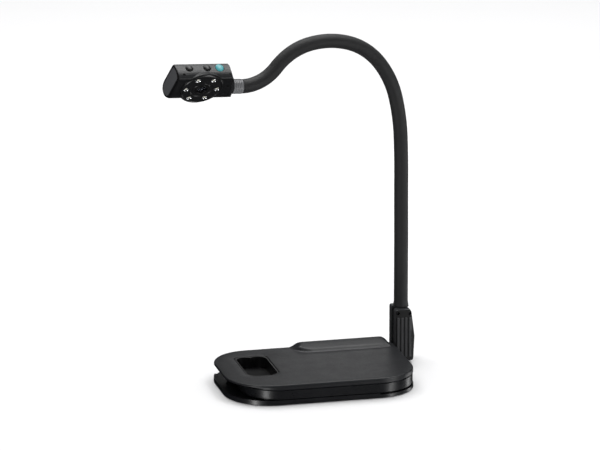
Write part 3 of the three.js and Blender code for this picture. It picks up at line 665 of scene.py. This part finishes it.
def buildNeck():
    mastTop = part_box("mast_front_cover")[1].z
    foot = Vector((neckPoints[0].x, neckPoints[0].y, mastTop + 0.3 * mm))
    run = [(foot, Vector((0, 0, 1)), 0.0)]
    lengthSoFar = 0.0
    marks = []
    straight = (neckPoints[0] - foot).length
    steps = max(2, int(straight / mm / sleeve["ringStep"]))
    for step in range(1, steps + 1):
        run.append((foot.lerp(neckPoints[0], step / steps), Vector((0, 0, 1)), straight * step / steps))
    lengthSoFar = straight
    for arc in arcs:
        length = arcLength(arc)
        steps = 2 * max(2, int(length / mm / sleeve["ringStep"] / 2))
        for step in range(1, steps + 1):
            point, direction = alongArc(arc, step / steps)
            run.append((point, direction, lengthSoFar + length * step / steps))
            if step == steps // 2:
                marks.append(len(run) - 1)
        lengthSoFar += length
    last = len(run) - 1
    cuts = [0] + marks + [last]
    rings = []
    for point, direction, distance in run:
        flare = 1 - smoothStep(distance / mm, 0, sleeve["footLength"])
        radius = sleeve["radius"] + (sleeve["footRadius"] - sleeve["radius"]) * flare
        rings.append(sleeveRing(point, direction, radius))
    circle = 2 * math.pi * sleeve["radius"]
    for number in range(len(cuts) - 1):
        first, final = cuts[number], cuts[number + 1]
        part = rings[first:final + 1]

        def lengths(row, column, first=first):
            return run[first + row][2] / mm, column / sleeve["sides"] * circle

        mesh = ringMesh(f"neckSleeve{number}", part, (number == 0, number == len(cuts) - 2), lengths)
        name = f"neckSleeve{number}"
        bodyBefore = "base" if number == 0 else f"neck_section_{number}"
        stands = (f"neck_section_{number}",) if number else ("neck_boot",)
        if number < len(arcs):
            piece = newPiece(name, mesh, "neckSleeve", None, stands)
            direction = arcs[number]["heading"]
            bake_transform(piece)
        else:
            newPiece(name, mesh, "neckSleeve", bodyBefore, stands)


buildNeck()
refined("upper_ferrule", "plateSteel", 0.1)
refined("swivel_collar", "collarPlastic", 0.12)
print("neck built")

headAlong = Vector(cadJoints["head_swivel"]["axis"]).normalized()
headUp = -Vector(cadJoints["button_focus_press"]["axis"]).normalized()
headOut = headAlong.cross(headUp)
headFromSwivel = headUp * 27 + headOut * 8.5 - headAlong * 83.6
headOrigin = Vector(cadJoints["head_swivel"]["pos_m"]) + headFromSwivel * mm
lens = {"along": 32.32, "up": -17.7, "circle": 17.5}


def onHead(along, up, out):
    return headOrigin + (headAlong * along + headUp * up + headOut * out) * mm


# surfaces turned about the way the lens looks, one per spot, from radius and height pairs
def turnedOnHead(name, spots, profile, sides, finish, stands=()):
    work = bmesh.new()
    for along, up in spots:
        rows = []
        for radius, out in profile:
            row = []
            for index in range(sides if radius > 1e-6 else 1):
                angle = 2 * math.pi * index / sides
                spot = onHead(along + radius * math.cos(angle), up + radius * math.sin(angle), out)
                row.append(work.verts.new(spot))
            rows.append(row)
        for low, high in zip(rows, rows[1:]):
            for index in range(sides):
                other = (index + 1) % sides
                corners = [low[index % len(low)], low[other % len(low)]]
                corners += [high[other % len(high)], high[index % len(high)]]
                unique = list(dict.fromkeys(corners))
                if len(unique) > 2:
                    work.faces.new(unique).smooth = True
    bmesh.ops.recalc_face_normals(work, faces=work.faces)
    mesh = bpy.data.meshes.new(name)
    work.to_mesh(mesh)
    work.free()
    mesh.set_sharp_from_angle(angle=math.radians(38))
    return newPiece(name, mesh, finish, "camera_head", stands)


def lightSpot(number):
    angle = math.pi / 3 * (number - 1)
    away, aside = lens["circle"] * math.cos(angle), lens["circle"] * math.sin(angle)
    return lens["along"] + away, lens["up"] + aside


def buildLights():
    cup = [(2.85, -0.3), (1.0, -0.3), (1.2, -0.12), (1.9, 0.15), (2.55, 0.75), (2.85, 1.15),
           (3.05, 1.15), (3.05, 0.6), (2.85, -0.3)]
    chip = [(0, 0.28), (0.75, 0.28), (0.95, 0.2), (1.0, -0.1), (0, -0.1)]
    dome = [(0, -0.05), (1.55, -0.05), (1.6, 0.5), (1.5, 1.1), (1.2, 1.62), (0.85, 1.95),
            (0.4, 2.14), (0, 2.2)]
    for number in range(1, 7):
        spot = [lightSpot(number)]
        turnedOnHead(f"lightCup{number}", spot, cup, 28, "reflector", (f"light_{number}",))
        turnedOnHead(f"lightChip{number}", spot, chip, 16, "lampChip")
        turnedOnHead(f"lightDome{number}", spot, dome, 28, "lightLens")


def buildLens():
    spot = [(lens["along"], lens["up"])]
    steps = [(4.85, -0.9), (4.85, -2.0), (4.2, -2.1), (4.15, -3.1), (3.5, -3.2), (3.45, -4.2),
             (2.8, -4.3), (2.75, -5.4), (2.2, -5.6), (1.6, -5.7), (1.55, -6.4), (0, -6.4)]
    glass = [(0, -0.1), (3.4, -0.45), (4.8, -1.0), (4.86, -0.55), (4.5, -0.1), (3.9, 0.28),
             (3.0, 0.66), (2.0, 0.93), (1.0, 1.1), (0, 1.15)]
    inner = [(0, -3.0), (1.2, -3.08), (2.4, -3.4), (3.3, -3.9), (3.3, -4.1), (0, -4.1)]
    turnedOnHead("lensBaffle", spot, steps, 48, "blackPlastic")
    turnedOnHead("lensFront", spot, glass, 48, "frontGlass", ("lens_glass",))
    turnedOnHead("lensInner", spot, inner, 40, "innerGlass")


slant = {
    "rate": 0.2,          # how much is cut back for each millimetre toward the buttons' side
    "low": -30,
    "start": 57,
    "full": 70,
    "cornerDepth": 15.2,
    "cornerRate": 0.55,
}


# the neck end of the head is cut back toward the buttons' side
def slantNeckEnd(piece):
    for vertex in piece.data.vertices:
        local = (vertex.co - headOrigin) / mm
        along, up, out = local.dot(headAlong), local.dot(headUp), local.dot(headOut)
        pull = slant["rate"] * max(0.0, up - slant["low"])
        pull *= smoothStep(along, slant["start"], slant["full"])
        corner = max(0.0, -out - slant["cornerDepth"]) * slant["cornerRate"] * smoothStep(along, 64, 71)
        vertex.co -= headAlong * (pull + corner) * mm


# black linings, painted shade that makes the sunk screws read as dark holes
def buildScrewPitShade():
    work = bmesh.new()
    spots = [(along, 1.5, -4.2, (headUp + headOut * 0.28).normalized()) for along in (7.3, 61.2)]
    spots += [(11.4, -23, 0.0, headOut), (63.3, -14, 0.0, headOut)]
    for along, up, out, facing in spots:
        rows = []
        for radius, depth in ((1.7, 0.02), (1.66, 0.1), (1.36, 0.1), (1.3, -1.0)):
            row = []
            for index in range(20):
                angle = math.pi * index / 10
                side = headAlong * math.cos(angle) + facing.cross(headAlong) * math.sin(angle)
                away = (side * radius + facing * depth) * mm
                row.append(work.verts.new(onHead(along, up, out) + away))
            rows.append(row)
        for low, high in zip(rows, rows[1:]):
            for index in range(20):
                other = (index + 1) % 20
                work.faces.new((low[index], low[other], high[other], high[index])).smooth = True
    mesh = bpy.data.meshes.new("screwPitShade")
    work.to_mesh(mesh)
    work.free()
    return newPiece("screwPitShade", mesh, "pitPlastic", "camera_head", ())


housing = refined("head_housing", "headPlastic", 0.7, 38, 3)


# the rim round the end cap is black
def onEndRim(middle, normal):
    return (middle - headOrigin).dot(headAlong) < 1.3 * mm and normal.dot(headAlong) < -0.35


twoTone(housing, "blackPlastic", onEndRim)
refined("end_cap", "capPlastic", 0.15, 38)
bezel = refined("bezel", "bezelPlastic", 0.22, 35, 2)
for piece in (housing, bezel, buildScrewPitShade()):
    slantNeckEnd(piece)
refined("lens_barrel", "blackPlastic", 0.12)
buildLights()
buildLens()
for name, finish, slotName in (
    ("light_board", "board", "board"), ("sensor_board", "board", "board"),
    ("button_board", "board", "board"),
    ("bezel_screw_1", "screwSteel", "black_steel"), ("bezel_screw_2", "screwSteel", "black_steel"),
    ("front_screw_1", "screwSteel", "black_steel"), ("front_screw_2", "screwSteel", "black_steel"),
):
    slantNeckEnd(refined(name, finish, 0.08))
for name in ("button_zoom_out", "button_zoom_in"):
    refined(name, "blackPlastic", 0.3, 40, 3)
refined("button_focus", "tealPlastic", 0.3, 40, 3)
print("head built")

floorMesh = bpy.data.meshes.new("floor")
floorMesh.from_pydata([(-9, -9, 0), (9, -9, 0), (9, 9, 0), (-9, 9, 0)], [], [(0, 1, 2, 3)])
floor = bpy.data.objects.new("floor", floorMesh)
bpy.context.scene.collection.objects.link(floor)
floorPaint, floorTree, floorShader = newMaterial("floorPaint")
floorPlace = addNode(floorTree, "TexCoord").outputs["Object"]
floorCloud = noise(floorTree, floorPlace, 3)
paint(floorTree, floorShader, floorCloud, (0.775, 0.775, 0.78), (0.79, 0.79, 0.795))
floorShader.inputs["Roughness"].default_value = 0.8
floorShader.inputs["Specular IOR Level"].default_value = 0.1
floorMesh.materials.append(floorPaint)
floor.visible_glossy = False   # the black plastic would mirror it otherwise
floor.visible_shadow = False

# the low strips sit under the desk's level, where upright walls mirror the camera's line
# each lamp: where it stands, what it faces, its width and height, and its power
lamps = {
    "above": ((0.1, 0.95, 2.3), (0, 0.55, 0), (2.6, 1.9), 50),
    "headSide": ((1.15, -0.1, 2.3), (0, 0, 0.3), (0.9, 0.9), 10),
    "frontLeft": ((-1.3, -1.6, 1.7), (0, 0, 0.2), (0.5, 0.9), 7),
    "behind": ((0.34, 1.05, 0.34), (0, 0, 0.02), (0.3, 0.2), 0.2),
    "lowLeft": ((-0.97, -0.87, -0.33), (0, 0, 0.02), (0.22, 0.6), 4.5),
    "lowRight": ((1.24, 0.40, -0.30), (0.1, 0, 0.02), (0.25, 0.6), 2.0),
    "lowFront": ((0.93, -1.0, -0.33), (0.1, 0, 0.02), (0.12, 0.6), 2.6),
    "mastSide": ((0.85, -0.75, 0.12), (0.13, 0.05, 0.05), (0.3, 0.5), 2.2),
}
for name, (place, aim, size, power) in lamps.items():
    light = bpy.data.lights.new(name, "AREA")
    light.shape = "RECTANGLE"
    light.size, light.size_y = size
    light.energy = power
    holder = bpy.data.objects.new(name, light)
    bpy.context.scene.collection.objects.link(holder)
    holder.location = place
    holder.rotation_mode = "QUATERNION"
    holder.rotation_quaternion = (Vector(aim) - Vector(place)).to_track_quat("-Z", "Y")
    holder.visible_camera = False

# an even white surround that fills the shadows but isn't mirrored in the plastic
world = bpy.data.worlds.new("studio")
bpy.context.scene.world = world
world.use_nodes = True
world.node_tree.nodes["Background"].inputs[0].default_value = (1, 1, 1, 1)
world.node_tree.nodes["Background"].inputs[1].default_value = 0.62
world.cycles_visibility.glossy = False
bpy.context.scene.view_settings.view_transform = "Standard"

shot = {
    "turn": 13.752,
    "height": 15.496,
    "distance": 5.0,
    "lens": 284.56,
    "aim": (0.00175, -0.00235, 0.17546),
}
turn, height = math.radians(shot["turn"]), math.radians(shot["height"])
level = math.cos(height)
looking = Vector((math.sin(turn) * level, math.cos(turn) * level, -math.sin(height)))
cameraData = bpy.data.cameras.new("camera")
cameraData.lens = shot["lens"]
cameraData.sensor_width = 36
cameraData.clip_end = 60
camera = bpy.data.objects.new("camera", cameraData)
bpy.context.scene.collection.objects.link(camera)
camera.location = Vector(shot["aim"]) - looking * shot["distance"]
camera.rotation_mode = "QUATERNION"
camera.rotation_quaternion = looking.to_track_quat("-Z", "Y")
bpy.context.scene.camera = camera
print("stage set")
